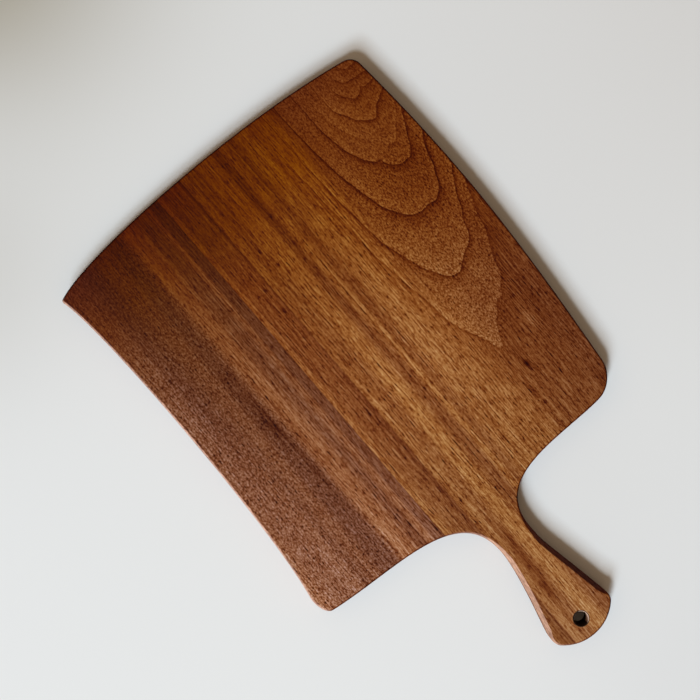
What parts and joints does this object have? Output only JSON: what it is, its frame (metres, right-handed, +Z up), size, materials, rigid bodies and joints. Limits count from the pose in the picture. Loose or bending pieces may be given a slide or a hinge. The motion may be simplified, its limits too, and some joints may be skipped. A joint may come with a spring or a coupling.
{
  "type": "cheese board",
  "caption": "Paddle-shaped wooden cheese board of edge-glued staves, with a free-hand outline, coved shoulders and a waisted, bevelled handle with a hanging hole.",
  "frame": {"origin": "middle of the underside's bounding box, on the plane the board lies on", "axes": "+Z up through the thickness, Y along the grain with the handle at -Y, +X to the right seen from above with the handle towards the viewer"},
  "size_m": [0.2434, 0.3816, 0.019],
  "materials": {
    "wood_dark": "dark mottled walnut, hand-rubbed oil, satin",
    "wood_brown": "straight-grained walnut, hand-rubbed oil, satin",
    "wood_figured": "flat-sawn walnut with cathedral figure, hand-rubbed oil, satin"
  },
  "bodies": {
    "root": {"left_stave": "wood_dark", "centre_strip": "wood_brown", "handle_stave": "wood_figured", "handle_cheek": "wood_brown"}
  },
  "joints": []
}
